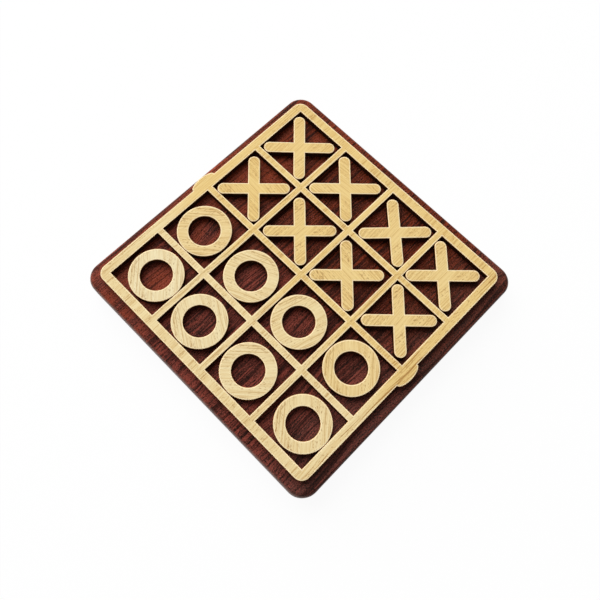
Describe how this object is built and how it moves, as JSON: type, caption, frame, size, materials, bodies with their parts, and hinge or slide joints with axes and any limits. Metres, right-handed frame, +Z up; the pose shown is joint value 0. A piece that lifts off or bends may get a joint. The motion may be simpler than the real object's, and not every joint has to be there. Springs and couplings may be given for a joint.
{
  "type": "tic-tac-toe board",
  "caption": "Square wooden noughts and crosses set: dark base board, pale lift-off grid with finger tabs, and loose flat rings and crosses that lie in its cells.",
  "frame": {"origin": "centre of the underside of the base board", "axes": "+Z up, out of the playing face; +Y towards the far finger tab; +X from the columns of noughts towards the columns of crosses"},
  "size_m": [0.1524, 0.1524, 0.016],
  "materials": {
    "dark_board": "dark red-brown stain, semi-gloss",
    "pale_grid": "pale hardwood, sanded and clear sealed",
    "pale_noughts": "pale hardwood, sanded and clear sealed",
    "pale_crosses": "pale hardwood, sanded and clear sealed",
    "dowel": "plain dowel rod"
  },
  "bodies": {
    "base": {"base_board": "dark_board", "far_dowel": "dowel", "near_dowel": "dowel"},
    "grid": {"playing_grid": "pale_grid"},
    "nought_1": {"nought_1": "pale_noughts"},
    "nought_2": {"nought_2": "pale_noughts"},
    "nought_3": {"nought_3": "pale_noughts"},
    "nought_4": {"nought_4": "pale_noughts"},
    "nought_5": {"nought_5": "pale_noughts"},
    "nought_6": {"nought_6": "pale_noughts"},
    "nought_7": {"nought_7": "pale_noughts"},
    "nought_8": {"nought_8": "pale_noughts"},
    "cross_1": {"cross_1": "pale_crosses"},
    "cross_2": {"cross_2": "pale_crosses"},
    "cross_3": {"cross_3": "pale_crosses"},
    "cross_4": {"cross_4": "pale_crosses"},
    "cross_5": {"cross_5": "pale_crosses"},
    "cross_6": {"cross_6": "pale_crosses"},
    "cross_7": {"cross_7": "pale_crosses"},
    "cross_8": {"cross_8": "pale_crosses"}
  },
  "joints": [
    {"name": "grid_lift", "type": "slide", "parent": "base", "child": "grid", "axis": [0, 0, 1], "range_m": [0, 0.03]},
    {"name": "nought_1_lift", "type": "slide", "parent": "base", "child": "nought_1", "axis": [0, 0, 1], "range_m": [0, 0.04]},
    {"name": "nought_2_lift", "type": "slide", "parent": "base", "child": "nought_2", "axis": [0, 0, 1], "range_m": [0, 0.04]},
    {"name": "nought_3_lift", "type": "slide", "parent": "base", "child": "nought_3", "axis": [0, 0, 1], "range_m": [0, 0.04]},
    {"name": "nought_4_lift", "type": "slide", "parent": "base", "child": "nought_4", "axis": [0, 0, 1], "range_m": [0, 0.04]},
    {"name": "nought_5_lift", "type": "slide", "parent": "base", "child": "nought_5", "axis": [0, 0, 1], "range_m": [0, 0.04]},
    {"name": "nought_6_lift", "type": "slide", "parent": "base", "child": "nought_6", "axis": [0, 0, 1], "range_m": [0, 0.04]},
    {"name": "nought_7_lift", "type": "slide", "parent": "base", "child": "nought_7", "axis": [0, 0, 1], "range_m": [0, 0.04]},
    {"name": "nought_8_lift", "type": "slide", "parent": "base", "child": "nought_8", "axis": [0, 0, 1], "range_m": [0, 0.04]},
    {"name": "cross_1_lift", "type": "slide", "parent": "base", "child": "cross_1", "axis": [0, 0, 1], "range_m": [0, 0.04]},
    {"name": "cross_2_lift", "type": "slide", "parent": "base", "child": "cross_2", "axis": [0, 0, 1], "range_m": [0, 0.04]},
    {"name": "cross_3_lift", "type": "slide", "parent": "base", "child": "cross_3", "axis": [0, 0, 1], "range_m": [0, 0.04]},
    {"name": "cross_4_lift", "type": "slide", "parent": "base", "child": "cross_4", "axis": [0, 0, 1], "range_m": [0, 0.04]},
    {"name": "cross_5_lift", "type": "slide", "parent": "base", "child": "cross_5", "axis": [0, 0, 1], "range_m": [0, 0.04]},
    {"name": "cross_6_lift", "type": "slide", "parent": "base", "child": "cross_6", "axis": [0, 0, 1], "range_m": [0, 0.04]},
    {"name": "cross_7_lift", "type": "slide", "parent": "base", "child": "cross_7", "axis": [0, 0, 1], "range_m": [0, 0.04]},
    {"name": "cross_8_lift", "type": "slide", "parent": "base", "child": "cross_8", "axis": [0, 0, 1], "range_m": [0, 0.04]}
  ]
}
